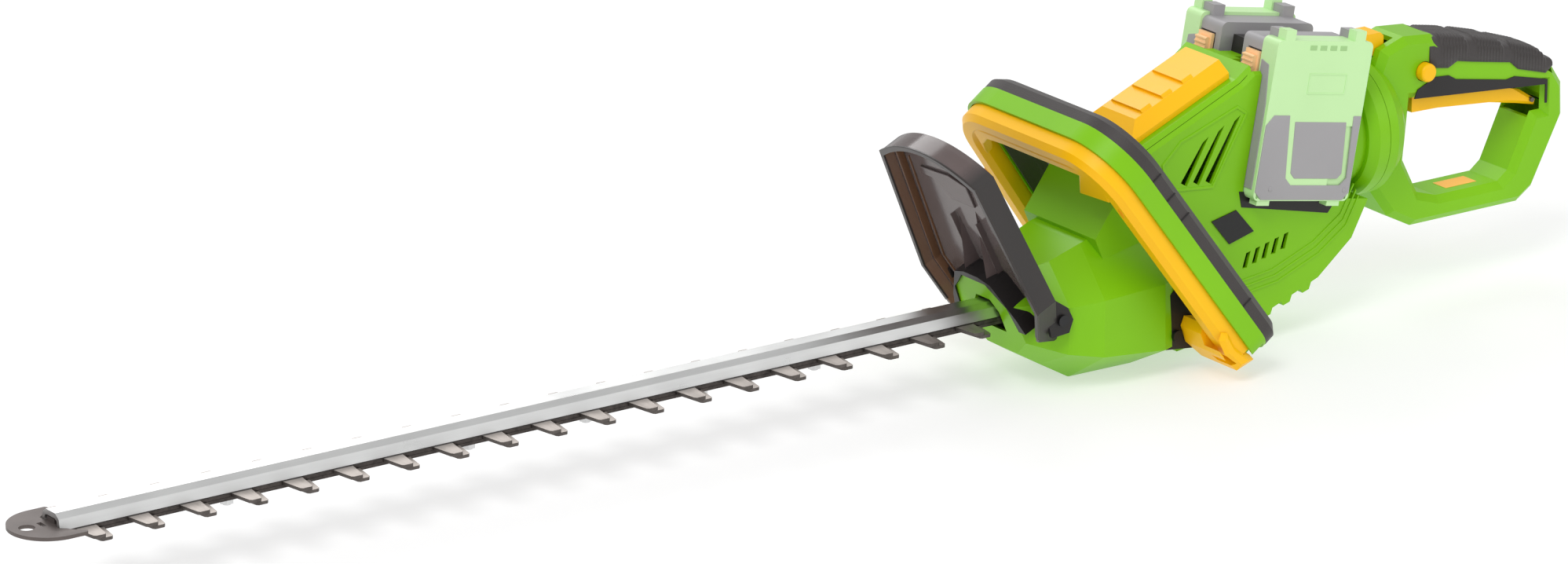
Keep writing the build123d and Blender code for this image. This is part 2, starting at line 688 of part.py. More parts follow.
def guard_outline(inset):
    """The guard's face seen from the front, drawn inwards by inset."""
    with BuildSketch(guard_base) as flat:
        with BuildLine():
            Polyline((-27, -13), (-41, -11), (-59, 24), (-48.5, 116))
            ThreePointArc((-48.5, 116), (0, 130), (48.5, 116))
            Polyline((48.5, 116), (59, 24), (41, -11), (27, -13), (-27, -13))
        make_face()
        if inset > 0:
            offset(amount=-inset)
    return flat.sketch


nose_clear = [(-30, -20), (-27, 8), (-15, 30), (-6, 33), (6, 33), (15, 30), (27, 8), (30, -20)]
with BuildPart() as hand_guard:
    extrude(guard_outline(0.0), amount=guard_depth)
    extrude(guard_outline(guard_wall), amount=guard_depth + 20, mode=Mode.SUBTRACT)
    extrude(guard_outline(1.0), amount=guard_wall)
    extrude(outline(guard_base.offset(-1.0), nose_clear), amount=guard_depth + 2.0, mode=Mode.SUBTRACT)
    # The tray's mouth slopes up to the front.
    low_front = [(guard_depth + 1.0, -0.5), (-4.0, -16.0), (guard_depth + 1.0, -16.0)]
    under_mouth = outline(Plane(origin=guard_base.origin, x_dir=guard_base.z_dir, z_dir=(0, -1, 0)), low_front)
    extrude(under_mouth, amount=70.0, both=True, mode=Mode.SUBTRACT)
    for rib_side in (1, -1):
        rib = [(rib_side * 15.0, 31), (rib_side * 11.0, 31), (rib_side * 12.4, 72), (rib_side * 13.4, 72)]
        extrude(outline(guard_base.offset(guard_wall), rib), amount=4.0)
    add(casing_form.part, mode=Mode.SUBTRACT)
save(hand_guard.part, "hand_guard")

with BuildPart() as guard_frame:
    frame_outer = [(-36, 2), (-32, 12), (-18, 34), (-7, 37), (7, 37), (18, 34), (32, 12), (36, 2)]
    extrude(outline(guard_base.offset(guard_wall + 0.05), frame_outer), amount=guard_depth - 1.0)
    extrude(outline(guard_base, nose_clear), amount=guard_depth + 2.0, mode=Mode.SUBTRACT)
    for side in (1, -1):
        ear_y = 47.0
        ear = [(72.0, 60.0), (66.0, 41.0), (53.0, 42.0), (50.0, 50.0), (54.0, 58.0), (66.0, 66.0)]
        near_y, far_y = sorted((side * ear_y, side * (ear_y + 2.4)))
        extrude(outline(Plane.XZ.offset(-near_y), ear), amount=near_y - far_y)
        extrude(disc(Plane.XZ.offset(-side * 40.0), 2.0, (58.5, 51.0)), amount=-side * 20.0, mode=Mode.SUBTRACT)
    add(hand_guard.part, mode=Mode.SUBTRACT)
    add(casing_form.part, mode=Mode.SUBTRACT)
save(guard_frame.part, "guard_frame")

with BuildPart() as guard_screws:
    for side in (1, -1):
        near_y, far_y = sorted((side * 44.0, side * 51.4))
        extrude(disc(Plane.XZ.offset(-near_y), 2.0, (58.5, 51.0)), amount=near_y - far_y)
        near_y, far_y = sorted((side * 49.4, side * 51.4))
        extrude(disc(Plane.XZ.offset(-near_y), 3.6, (58.5, 51.0)), amount=near_y - far_y)
save(guard_screws.part, "guard_screws")

# ---- front bail handle: black grip behind, green channel, sprung yellow lever in front ----
lean_bail = math.radians(bail_lean)
bail_base = Plane(
    origin=(bail_base_x - 8.0, 0, bail_base_z),
    x_dir=(0, 1, 0),
    z_dir=(math.cos(lean_bail), 0, -math.sin(lean_bail)),
)


def bail_outline(level, inset, foot, foot_corner=0.0):
    """The bail's U shape at a level through its thickness, made slimmer by inset on every side."""
    top = bail_height + 8.0
    flare = (bail_foot_half - bail_top_half) / (top + 40.0)
    with BuildSketch(bail_base.offset(level)) as flat:
        for half_high, height, low, corner, low_corner, mode in (
            (bail_top_half - inset, top - inset, foot, bail_corner - inset, foot_corner, Mode.ADD),
            (bail_top_half - bail_bar + inset, top - bail_bar + inset, foot - 60.0, bail_corner - bail_bar + inset,
             0.0, Mode.SUBTRACT),
        ):
            half_low = half_high + flare * (height - low)
            with BuildSketch(bail_base.offset(level), mode=mode) as u_form:
                with BuildLine():
                    Polyline(
                        (-half_low, low), (-half_high, height), (half_high, height),
                        (half_low, low), close=True,
                    )
                make_face()
                fillet(u_form.vertices().group_by(Axis.Y)[-1], radius=corner)
                if low_corner > 0:
                    fillet(u_form.vertices().group_by(Axis.Y)[0], radius=low_corner)
    return flat.sketch


with BuildPart() as bail_grip:
    extrude(bail_outline(grip_level, 0.3, 3.0, 14.0), amount=shell_level - grip_level)
    grip_edges = bail_grip.faces().sort_by(Axis(bail_base.origin, bail_base.z_dir))[0].edges()
    chamfer(grip_edges, length=4.5)
save(bail_grip.part, "bail_grip")

with BuildPart() as bail_shell:
    extrude(bail_outline(shell_level, 0.0, 3.0, 15.0), amount=shell_depth)
    extrude(bail_outline(shell_level + 2.4, 2.0, -20.0), amount=shell_depth, mode=Mode.SUBTRACT)
    extrude(bail_outline(shell_level, 0.0, 3.0, 15.0), amount=shell_depth, mode=Mode.INTERSECT)
save(bail_shell.part, "bail_shell")

push_spots = (-42.0, 0.0, 42.0)
push_level = bail_height + 8.0 - bail_bar / 2
with BuildPart() as bail_lever:
    extrude(bail_outline(lever_level, 2.5, 16.0), amount=lever_depth)
    lever_edges = bail_lever.faces().sort_by(Axis(bail_base.origin, bail_base.z_dir))[-1].edges()
    chamfer(lever_edges, length=3.6)
    # Pockets for the switch and the springs.
    extrude(slab(bail_base.offset(lever_level), 20.0, 8.0, (0.0, push_level)), amount=3.2, mode=Mode.SUBTRACT)
    for spring_y in (push_spots[0], push_spots[2]):
        extrude(disc(bail_base.offset(lever_level), 3.6, (spring_y, push_level)), amount=3.2, mode=Mode.SUBTRACT)
save(bail_lever.part, "bail_lever")

# Fixed hooks that carry the bail's feet, on both sides.
hook_side = [(-61.0, 13.5), (-47.0, 8.5), (-34.5, 20.0), (-30.5, 31.0), (-33.0, 37.0), (-39.0, 36.0), (-45.0, 26.0)]
with BuildPart() as bail_hooks:
    for side in (1, -1):
        near_y, far_y = sorted((side * 51.5, side * 90.5))
        extrude(outline(Plane.XZ.offset(-near_y), hook_side), amount=near_y - far_y)
    hook_edges = bail_hooks.edges().filter_by(lambda e: abs(abs(e.center().Y) - 90.5) < 0.01)
    chamfer(hook_edges, length=4.0)
    extrude(bail_outline(shell_level + 2.0, 1.9, 15.4), amount=26.0, mode=Mode.SUBTRACT)
    extrude(bail_outline(grip_level - 4.0, -0.3, -20.0), amount=shell_level + shell_depth + 4.3 - grip_level,
            mode=Mode.SUBTRACT)
save(bail_hooks.part, "bail_hooks")

mount_side = [(-20.0, 17.0), (-20.0, 50.0), (-34.0, 60.0), (-56.0, 52.0), (-60.0, 24.0), (-46.0, 14.0)]
with BuildPart() as bail_mounts:
    for side in (1, -1):
        near_y, far_y = sorted((side * 44.5, side * 51.0))
        extrude(outline(Plane.XZ.offset(-near_y), mount_side), amount=near_y - far_y)
    add(casing_form.part, mode=Mode.SUBTRACT)
save(bail_mounts.part, "bail_mounts")

with BuildPart() as bail_screws:
    for side in (1, -1):
        for spot in ((-27.5, 25.0), (-36.0, 46.0), (-53.0, 44.0)):
            near_y, far_y = sorted((side * 51.05, side * 53.4))
            extrude(disc(Plane.XZ.offset(-near_y), 3.6, spot), amount=near_y - far_y)
save(bail_screws.part, "bail_screws")

# Micro switch and return springs of the bail lever, inside the green channel.
with BuildPart() as bail_switch:
    extrude(slab(bail_base.offset(shell_level + 2.5), 18.0, 6.0, (0.0, push_level)), amount=3.4)
save(bail_switch.part, "bail_switch")

with BuildPart() as bail_lever_springs:
    for spring_y in (push_spots[0], push_spots[2]):
        extrude(disc(bail_base.offset(shell_level + 2.5), 3.0, (spring_y, push_level)), amount=3.6)
        hollow = disc(bail_base.offset(shell_level + 2.0), 2.2, (spring_y, push_level))
        extrude(hollow, amount=5.0, mode=Mode.SUBTRACT)
save(bail_lever_springs.part, "bail_lever_springs")

# ---- rear handle ----
with BuildPart() as collar_ring:
    extrude(disc(Plane.YZ.offset(collar_front_x + 8.0), 36.0, (0, collar_z)), amount=-8.0)
    extrude(disc(Plane.YZ.offset(collar_front_x), collar_radius, (0, collar_z)), amount=collar_seam_x - collar_front_x)
    front_edge = collar_ring.edges().filter_by(GeomType.CIRCLE).group_by(Axis.X)[1]
    chamfer(front_edge.sort_by(SortBy.RADIUS)[-1], length=5.0)
    extrude(disc(Plane.YZ.offset(collar_seam_x + 1.0), 20.0, (0, collar_z)), amount=-14.0)
    extrude(disc(Plane.YZ.offset(collar_seam_x - 9.0), 26.0, (0, collar_z)), amount=-4.0)
    extrude(disc(Plane.YZ.offset(collar_front_x + 12.0), 16.5, (0, collar_z)), amount=-50.0, mode=Mode.SUBTRACT)
    add(casing_form.part, mode=Mode.SUBTRACT)
save(collar_ring.part, "collar_ring")

loop_outer = (
    (-208, 150), (-214, 165), (-232, 171), (-254, 169), (-261, 163), (-268, 160), (-303, 153.5), (-338, 141.5),
    (-354, 131), (-362, 119), (-363, 98), (-340, 54), (-328, 46), (-241, 46), (-222, 56), (-204, 80),
)
loop_inner = (
    (-238, 130), (-345, 121), (-345, 104), (-337, 104), (-320, 68), (-312, 62), (-262, 62), (-246, 67), (-234, 90),
)
collar_back_x = -221.0

with BuildPart() as handle_form:
    extrude(outline(Plane.XZ, loop_outer), amount=handle_half_width, both=True)
    extrude(outline(Plane.XZ, loop_inner), amount=handle_half_width + 5, both=True, mode=Mode.SUBTRACT)
    handle_edges = handle_form.edges().filter_by(lambda e: abs(abs(e.center().Y) - handle_half_width) < 0.01)
    chamfer(handle_edges, length=4.5)
    with BuildSketch(Plane.XZ):
        with BuildLine():
            Polyline(
                (collar_seam_x - 0.4, collar_z),
                (collar_seam_x - 0.4, collar_z + collar_radius),
                (collar_seam_x - 7, collar_z + collar_radius),
                (collar_back_x + 6, collar_z + collar_radius - 6),
                (collar_back_x - 4, collar_z + collar_radius - 18),
                (collar_back_x - 4, collar_z),
                close=True,
            )
        make_face()
    revolve(axis=Axis((0, 0, collar_z), (1, 0, 0)), revolution_arc=360)

with BuildPart() as handle_hollow:
    with BuildSketch(Plane.XZ):
        with BuildLine():
            Polyline(*loop_outer, close=True)
        make_face()
        with BuildLine():
            Polyline(*loop_inner, close=True)
        make_face(mode=Mode.SUBTRACT)
        offset(amount=-wall - 0.6)
    extrude(amount=handle_half_width - wall - 0.6, both=True)
    with BuildSketch(Plane.XZ):
        with BuildLine():
            Polyline(
                (collar_seam_x + 4, collar_z),
                (collar_seam_x + 4, collar_z + 21),
                (collar_seam_x - 8, collar_z + 21),
                (collar_seam_x - 8, collar_z + 30),
                (collar_back_x + 2, collar_z + 30),
                (collar_back_x + 2, collar_z),
                close=True,
            )
        make_face()
    revolve(axis=Axis((0, 0, collar_z), (1, 0, 0)), revolution_arc=360)

lock_spot = (-246.0, 147.0)
trigger_slot = [(-240, 152), (-240, 100), (-349, 100), (-349, 108), (-340, 123), (-300, 133)]
with BuildPart() as handle_body:
    add(handle_form.part)
    add(handle_hollow.part, mode=Mode.SUBTRACT)
    # Slot for the trigger, hole for the lock-off button, pocket for the rotation button.
    extrude(outline(Plane.XZ, trigger_slot), amount=trigger_half_width + 0.8, both=True, mode=Mode.SUBTRACT)
    extrude(disc(Plane.XZ, 6.5, lock_spot), amount=-30.0, mode=Mode.SUBTRACT)
    extrude(slab(Plane.XZ, 24.0, 20.0, (-216.0, 169.5)), amount=8.6, both=True, mode=Mode.SUBTRACT)
    # Bed for the soft grip.
    bed = [(-262, 175), (-262, 157), (-303, 149.5), (-336, 138), (-352, 127), (-358, 175)]
    extrude(outline(Plane.XZ, bed), amount=30.0, both=True, mode=Mode.SUBTRACT)

for side_name, side_keep in (("handle_left_shell", Keep.BOTTOM), ("handle_right_shell", Keep.TOP)):
    with BuildPart() as half_handle:
        add(handle_body.part)
        split(bisect_by=Plane.XZ, keep=side_keep)
    save(half_handle.part, side_name)

grip_side = [
    (-262.4, 157.4), (-262.4, 163), (-270, 161.5), (-303, 154.6), (-338, 142.6), (-353, 132), (-351, 128.0),
    (-336, 138.4), (-303, 149.9),
]
with BuildPart() as handle_grip:
    extrude(outline(Plane.XZ, grip_side), amount=handle_half_width + 0.6, both=True)
    grip_top = handle_grip.edges().filter_by(lambda e: abs(abs(e.center().Y) - handle_half_width - 0.6) < 0.01)
    chamfer(grip_top.sort_by(Axis.Z)[-6:], length=2.0)
save(handle_grip.part, "handle_grip")

trim_side = [
    (-241, 136), (-249.5, 139.5), (-253, 142), (-266, 141), (-272, 137.5), (-313, 130), (-320, 131),
    (-347, 124.5), (-347, 109), (-345.4, 109),
]
trim_low = [(-345.4, 121.4), (-238.4, 130.4), (-240, 134)]
trim_out = handle_half_width + 0.7
with BuildPart() as handle_trim:
    for near_y, far_y in ((handle_half_width, trim_out), (-trim_out, -handle_half_width)):
        extrude(outline(Plane.XZ.offset(-near_y), trim_side + trim_low), amount=near_y - far_y)
save(handle_trim.part, "handle_trim")

trigger_side = [
    (-241.5, 131), (-241.5, 119.5), (-262, 119), (-300, 115.5), (-328, 110), (-343, 106.5), (-344, 110), (-330, 119),
    (-300, 127),
]
trigger_pivot = (-339.0, 111.0)
with BuildPart() as trigger:
    extrude(outline(Plane.XZ, trigger_side), amount=trigger_half_width, both=True)
    trigger_edges = trigger.edges().filter_by(lambda e: abs(abs(e.center().Y) - trigger_half_width) < 0.01)
    chamfer(trigger_edges.sort_by(Axis.Z)[:8], length=2.0)
    extrude(disc(Plane.XZ, 1.55, trigger_pivot), amount=20.0, both=True, mode=Mode.SUBTRACT)
save(trigger.part, "trigger")

with BuildPart() as trigger_pin:
    extrude(disc(Plane.XZ, 1.5, trigger_pivot), amount=14.0, both=True)
save(trigger_pin.part, "trigger_pin")

with BuildPart() as trigger_switch:
    extrude(slab(Plane.XZ, 24.0, 10.0, (-268.0, 148.0)), amount=6.0, both=True)
save(trigger_switch.part, "trigger_switch")

with BuildPart() as trigger_spring:
    for level in range(4):
        with BuildSketch(Plane.XY.offset(133.5 + 2.0 * level)):
            with Locations((-290.0, 0)):
                Circle(3.6)
                Circle(2.7, mode=Mode.SUBTRACT)
        extrude(amount=0.9)
save(trigger_spring.part, "trigger_spring")

with BuildPart() as lock_off_button:
    extrude(disc(Plane.XZ.offset(-15.5), 6.0, lock_spot), amount=-8.5)
    outer_edge = lock_off_button.edges().filter_by(GeomType.CIRCLE).sort_by(Axis.Y)[-1]
    fillet(outer_edge, radius=2.0)
    extrude(disc(Plane.XZ.offset(-13.0), 7.2, lock_spot), amount=-1.8)
    extrude(disc(Plane.XZ.offset(-13.0), 3.0, lock_spot), amount=-4.0)
save(lock_off_button.part, "lock_off_button")

with BuildPart() as rotation_button:
    extrude(slab(Plane.XZ, 15.0, 14.0, (-213.5, 167.6)), amount=8.0, both=True)
    chamfer(rotation_button.edges().filter_by(Axis.Y).sort_by(Axis.Z)[-2:], length=2.5)
save(rotation_button.part, "rotation_button")

# ---- screws that close the casing and the handle ----
with BuildPart() as shell_screws:
    for spot in ((46.0, 26.0), (14.0, 84.0), (-70.0, 26.0), (-160.0, 62.0), (-78.0, 108.0)):
        extrude(disc(Plane.XZ.offset(28.0), 1.9, spot), amount=-24.0)
        extrude(disc(Plane.XZ.offset(28.0), 3.6, spot), amount=-2.6)
save(shell_screws.part, "shell_screws")

with BuildPart() as handle_screws:
    for spot in ((-353.0, 108.0), (-326.0, 54.0), (-244.0, 56.0), (-226.0, 76.0)):
        extrude(disc(Plane.XZ.offset(14.0), 1.5, spot), amount=-20.0)
        extrude(disc(Plane.XZ.offset(14.0), 2.8, spot), amount=-2.2)
save(handle_screws.part, "handle_screws")

with BuildPart() as nose_wiper:
    with BuildSketch(Plane.YZ.offset(57.0)):
        with Locations((0, 30.0)):
            Rectangle(28.0, 18.0)
    extrude(amount=4.0)
save(nose_wiper.part, "nose_wiper")
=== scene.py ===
import math

import bmesh
import bpy
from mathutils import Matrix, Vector


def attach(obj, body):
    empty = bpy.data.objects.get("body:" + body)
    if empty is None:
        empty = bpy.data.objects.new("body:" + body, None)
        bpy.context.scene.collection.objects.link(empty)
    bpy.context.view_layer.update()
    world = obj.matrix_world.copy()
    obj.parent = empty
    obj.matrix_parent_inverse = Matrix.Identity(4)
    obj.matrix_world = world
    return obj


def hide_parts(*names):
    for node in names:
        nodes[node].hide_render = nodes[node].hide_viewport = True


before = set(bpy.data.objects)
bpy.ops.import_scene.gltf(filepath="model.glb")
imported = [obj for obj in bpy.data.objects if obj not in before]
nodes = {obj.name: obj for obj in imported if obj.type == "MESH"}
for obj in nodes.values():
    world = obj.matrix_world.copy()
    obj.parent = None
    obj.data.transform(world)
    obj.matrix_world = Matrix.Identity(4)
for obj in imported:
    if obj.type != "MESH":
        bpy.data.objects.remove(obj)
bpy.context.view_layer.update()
MM = 0.001

# ---------------------------------------------------------------- materials


def node_tree(name):
    """A new material, its node tree and its shader."""
    material = bpy.data.materials.new(name)
    material.use_nodes = True
    tree = material.node_tree
    tree.nodes.clear()
    out = tree.nodes.new("ShaderNodeOutputMaterial")
    shader = tree.nodes.new("ShaderNodeBsdfPrincipled")
    tree.links.new(shader.outputs["BSDF"], out.inputs["Surface"])
    return material, tree, shader


def place(tree, stretch=(1.0, 1.0, 1.0)):
    """Object coordinates in metres, stretched by a factor along each axis."""
    where = tree.nodes.new("ShaderNodeTexCoord")
    mapping = tree.nodes.new("ShaderNodeMapping")
    mapping.inputs["Scale"].default_value = stretch
    tree.links.new(where.outputs["Object"], mapping.inputs["Vector"])
    return mapping.outputs["Vector"]


def noise(tree, vector, scale, detail=3.0, roughness=0.55):
    texture = tree.nodes.new("ShaderNodeTexNoise")
    texture.inputs["Scale"].default_value = scale
    texture.inputs["Detail"].default_value = detail
    texture.inputs["Roughness"].default_value = roughness
    tree.links.new(vector, texture.inputs["Vector"])
    return texture.outputs["Fac"]


def ramp(tree, value, low, high, start=0.3, end=0.7):
    """A ramp between two colours, as value goes from start to end."""
    node = tree.nodes.new("ShaderNodeValToRGB")
    node.color_ramp.elements[0].position = start
    node.color_ramp.elements[0].color = (*low, 1.0)
    node.color_ramp.elements[1].position = end
    node.color_ramp.elements[1].color = (*high, 1.0)
    tree.links.new(value, node.inputs["Fac"])
    return node.outputs["Color"]


def span(tree, value, low, high, start=0.3, end=0.7):
    """A number between low and high, as value goes from start to end."""
    node = tree.nodes.new("ShaderNodeMapRange")
    node.inputs["From Min"].default_value = start
    node.inputs["From Max"].default_value = end
    node.inputs["To Min"].default_value = low
    node.inputs["To Max"].default_value = high
    tree.links.new(value, node.inputs["Value"])
    return node.outputs["Result"]


def bump(tree, shader, height, strength, depth):
    node = tree.nodes.new("ShaderNodeBump")
    node.inputs["Strength"].default_value = strength
    node.inputs["Distance"].default_value = depth
    tree.links.new(height, node.inputs["Height"])
    tree.links.new(node.outputs["Normal"], shader.inputs["Normal"])


def tint(colour, factor):
    return tuple(min(1.0, c * factor) for c in colour)


def moulded(name, colour, rough, spread=0.06, grain=2600.0, strength=0.12, coat=0.0):
    """Moulded plastic: fine spark texture, faint cloudy colour and slightly uneven gloss."""
    material, tree, shader = node_tree(name)
    where = place(tree)
    cloud = noise(tree, where, 9.0)
    speck = noise(tree, where, grain, detail=2.0)
    colours = ramp(tree, cloud, tint(colour, 1.0 - spread), tint(colour, 1.0 + spread))
    tree.links.new(colours, shader.inputs["Base Color"])
    tree.links.new(span(tree, cloud, rough - 0.04, rough + 0.04), shader.inputs["Roughness"])
    bump(tree, shader, speck, strength, 0.0002)
    shader.inputs["Specular IOR Level"].default_value = 0.32
    shader.inputs["Coat Weight"].default_value = coat
    shader.inputs["Coat Roughness"].default_value = 0.25
    return material


def metal(name, colour, rough, stretch, spread=0.12, strength=0.2, metallic=1.0):
    """Metal with fine lines along one axis, from noise stretched along it."""
    material, tree, shader = node_tree(name)
    lines = noise(tree, place(tree, stretch), 60.0, detail=5.0, roughness=0.7)
    cloud = noise(tree, place(tree), 25.0)
    colours = ramp(tree, lines, tint(colour, 1.0 - spread), tint(colour, 1.0 + spread))
    tree.links.new(colours, shader.inputs["Base Color"])
    tree.links.new(span(tree, cloud, rough - 0.06, rough + 0.08), shader.inputs["Roughness"])
    shader.inputs["Metallic"].default_value = metallic
    bump(tree, shader, lines, strength, 0.00005)
    return material


def rubber(name, colour, rough, strength=0.35):
    """Soft overmould: dull, with a pebbled grain and a little dust-pale sheen."""
    material, tree, shader = node_tree(name)
    where = place(tree)
    cells = tree.nodes.new("ShaderNodeTexVoronoi")
    cells.inputs["Scale"].default_value = 1300.0
    tree.links.new(where, cells.inputs["Vector"])
    cloud = noise(tree, where, 14.0)
    tree.links.new(
        ramp(tree, cloud, tint(colour, 0.85), tint(colour, 1.2)), shader.inputs["Base Color"]
    )
    tree.links.new(span(tree, cloud, rough - 0.05, rough + 0.07), shader.inputs["Roughness"])
    shader.inputs["Sheen Weight"].default_value = 0.12
    shader.inputs["Sheen Roughness"].default_value = 0.5
    bump(tree, shader, cells.outputs["Distance"], strength, 0.0002)
    return material


def part_of(tree, vector, axis):
    """One coordinate of a vector."""
    split = tree.nodes.new("ShaderNodeSeparateXYZ")
    tree.links.new(vector, split.inputs["Vector"])
    return split.outputs[axis]


def maths(tree, operation, first, second=None):
    """The result of one operation on one or two numbers."""
    node = tree.nodes.new("ShaderNodeMath")
    node.operation = operation
    tree.links.new(first, node.inputs[0])
    if second is not None:
        tree.links.new(second, node.inputs[1])
    return node.outputs["Value"]


def blended(tree, factor, first, second):
    """One colour turning into another as factor goes from 0 to 1."""
    node = tree.nodes.new("ShaderNodeMix")
    node.data_type = "RGBA"
    tree.links.new(factor, node.inputs["Factor"])
    tree.links.new(first, node.inputs["A"])
    tree.links.new(second, node.inputs["B"])
    return node.outputs["Result"]


# Where a look changes, in metres: Y times the normal's Y on the guard, and |Y| on the blades.
OUTER_SIDE = (0.010, 0.022)
INNER_SIDE = (-0.022, -0.012)
# Painted shade: the blades are darker within this |Y|, where the bar lies over them.
BAR_SHADE_EDGE = (0.0118, 0.0128)


def smoke(name):
    """Brown smoke plastic: glossy and part see-through, near black and textured on its outer sides."""
    material, tree, shader = node_tree(name)
    where = place(tree)
    surface = tree.nodes.new("ShaderNodeNewGeometry")
    cloud = noise(tree, place(tree, (1.0, 1.0, 0.4)), 16.0)
    outward = maths(
        tree, "MULTIPLY", part_of(tree, where, "Y"), part_of(tree, surface.outputs["Normal"], "Y")
    )
    outer = span(tree, outward, 0.0, 1.0, 0.012, OUTER_SIDE[1])
    inner = span(tree, outward, 1.0, 0.0, *INNER_SIDE)
    wall = ramp(tree, cloud, (0.105, 0.080, 0.078), (0.135, 0.102, 0.098))
    side = ramp(tree, cloud, (0.165, 0.078, 0.040), (0.205, 0.102, 0.056))
    skin = ramp(tree, cloud, (0.020, 0.017, 0.016), (0.028, 0.023, 0.022))
    coloured = blended(tree, outer, blended(tree, inner, wall, side), skin)
    tree.links.new(coloured, shader.inputs["Base Color"])
    tree.links.new(span(tree, outward, 0.14, 0.42, *OUTER_SIDE), shader.inputs["Roughness"])
    tree.links.new(span(tree, outward, 0.88, 1.0, *OUTER_SIDE), shader.inputs["Alpha"])
    return material


def blade_steel(name):
    """Ground teeth with painted shade on their sideways cut edges, and painted shade along the middle,
    under the bar.
    """
    material, tree, shader = node_tree(name)
    where = place(tree)
    surface = tree.nodes.new("ShaderNodeNewGeometry")
    lines = noise(tree, place(tree, (3.0, 0.15, 3.0)), 70.0, detail=5.0, roughness=0.7)
    ground = ramp(tree, lines, (0.30, 0.265, 0.24), (0.46, 0.415, 0.385))
    # The painted shade colour, for the middle under the bar and for the sideways cut edges.
    shade_colour = ramp(tree, lines, (0.030, 0.025, 0.023), (0.085, 0.072, 0.066))
    from_middle = maths(tree, "ABSOLUTE", part_of(tree, where, "Y"))
    # Painted shade under the bar, along the blade's middle.
    bar_shade = span(tree, from_middle, 1.0, 0.0, *BAR_SHADE_EDGE)
    facing = maths(tree, "ABSOLUTE", part_of(tree, surface.outputs["Normal"], "Z"))
    # Painted shade on the sideways cut edges, taken from the normal's direction.
    edge_shade = span(tree, facing, 0.85, 0.0, 0.55, 0.85)
    # All painted shade on the blade: the larger of the two masks.
    dark = maths(tree, "MAXIMUM", bar_shade, edge_shade)
    tree.links.new(blended(tree, dark, ground, shade_colour), shader.inputs["Base Color"])
    tree.links.new(span(tree, lines, 0.32, 0.5), shader.inputs["Roughness"])
    shader.inputs["Metallic"].default_value = 0.75
    bump(tree, shader, lines, 0.2, 0.00005)
    return material


def circuit(name):
    material, tree, shader = node_tree(name)
    cells = tree.nodes.new("ShaderNodeTexVoronoi")
    cells.distance = "CHEBYCHEV"
    cells.inputs["Scale"].default_value = 260.0
    tree.links.new(place(tree), cells.inputs["Vector"])
    tree.links.new(
        ramp(tree, cells.outputs["Distance"], (0.01, 0.10, 0.04), (0.02, 0.20, 0.08)),
        shader.inputs["Base Color"],
    )
    shader.inputs["Roughness"].default_value = 0.3
    bump(tree, shader, cells.outputs["Distance"], 0.2, 0.0002)
    return material


LIME = (0.205, 0.530, 0.0)
YELLOW = (1.0, 0.520, 0.0)
GRIP = (0.034, 0.028, 0.027)

looks = {
    "lime": moulded("lime_plastic", LIME, 0.40),
    "yellow": moulded("yellow_plastic", YELLOW, 0.40, spread=0.04),
    "grip": rubber("soft_grip", GRIP, 0.55),
    "black": moulded("black_plastic", (0.018, 0.016, 0.016), 0.38, spread=0.2, strength=0.2),
    "label": moulded("label_blank", (0.012, 0.012, 0.012), 0.22, spread=0.15, strength=0.04),
    "smoke": smoke("smoke_plastic"),
    "bar": metal("bar_aluminium", (0.74, 0.745, 0.74), 0.32, (0.05, 3.0, 3.0), spread=0.05),
    "blade": blade_steel("blade_steel"),
    "dark": metal("dark_steel", (0.125, 0.105, 0.098), 0.45, (1.0, 1.0, 1.0), metallic=0.5),
    "bolt": metal("bolt_steel", (0.62, 0.62, 0.62), 0.28, (1.0, 1.0, 0.2)),
    "screw": metal("black_screw", (0.03, 0.03, 0.032), 0.35, (1.0, 1.0, 1.0), metallic=0.7),
    "brass": metal("contact_brass", (0.75, 0.52, 0.2), 0.3, (1.0, 1.0, 0.2)),
    "board": circuit("circuit_board"),
    "felt": rubber("pressed_felt", (0.10, 0.095, 0.09), 0.85, strength=0.8),
    "pack_grey": moulded("pack_grey", (0.36, 0.35, 0.36), 0.45, spread=0.05),
    "pack_green": moulded("pack_green", (0.56, 0.84, 0.42), 0.42, spread=0.03),
    "pack_latch": moulded("pack_latch", (1.0, 0.62, 0.32), 0.42, spread=0.04),
    # Painted shade: a darker copy of the pack's green for the inside of its slots.
    "pack_slot_shade": moulded("pack_slot_shade", (0.36, 0.60, 0.25), 0.5),
    # Painted shade: orange standing for the shade inside the yellow lever's dimples.
    "painted_dimple_shade": moulded("dimple_shade_paint", (0.95, 0.33, 0.004), 0.42),
    # Painted shadow: near black for the inside of the grip's grooves.
    "groove_shadow": rubber("seam_shadow", (0.012, 0.010, 0.010), 0.8),
    "guard_edge": moulded("guard_edge", (0.035, 0.028, 0.026), 0.30, spread=0.15, coat=0.2),
    "sticker": moulded("blank_sticker", (0.95, 0.50, 0.10), 0.5),
    "cell": metal("cell_sleeve", (0.35, 0.38, 0.48), 0.35, (1.0, 1.0, 0.1), metallic=0.3),
}

